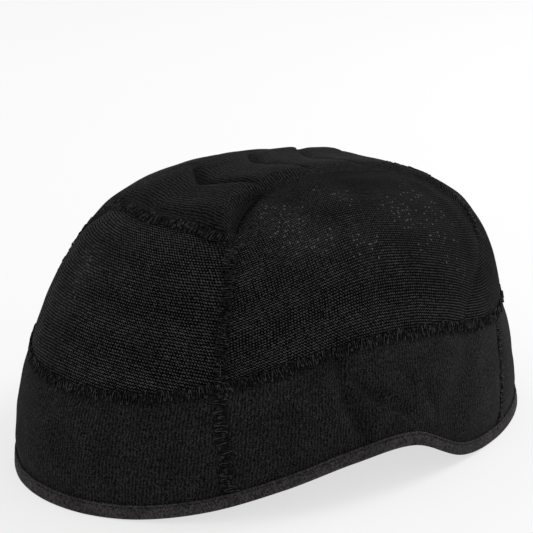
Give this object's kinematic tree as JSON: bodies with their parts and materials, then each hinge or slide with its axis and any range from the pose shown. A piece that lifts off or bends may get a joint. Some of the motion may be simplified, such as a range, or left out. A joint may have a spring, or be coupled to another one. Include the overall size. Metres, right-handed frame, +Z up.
{
  "type": "helmet liner cap",
  "caption": "Close skull cap worn under a helmet: knit mesh crown with a padded, grooved top panel, a ribbed fleece band that rises over the ears, and a bound hem.",
  "frame": {"origin": "under the middle of the cap's overall size, in the plane that the lowest parts of the hem rest on", "axes": "+Z up, forehead towards -Y, nape towards +Y, wearer's left towards +X"},
  "size_m": [0.147, 0.2067, 0.1],
  "materials": {
    "mesh_knit": "black fine knit mesh, matte, with pinholes",
    "rib_fleece": "black brushed fleece, matte, with fine upright ribs",
    "pad_fleece": "black padded fleece with fine ribs, matte",
    "binding_tape": "charcoal knit binding tape, matte"
  },
  "bodies": {
    "root": {"top_panel": "pad_fleece", "front_panel": "mesh_knit", "back_panel": "mesh_knit", "side_panel_left": "mesh_knit", "side_panel_right": "mesh_knit", "band_front": "rib_fleece", "band_back": "rib_fleece", "band_left": "rib_fleece", "band_right": "rib_fleece", "hem_binding": "binding_tape"}
  },
  "joints": []
}
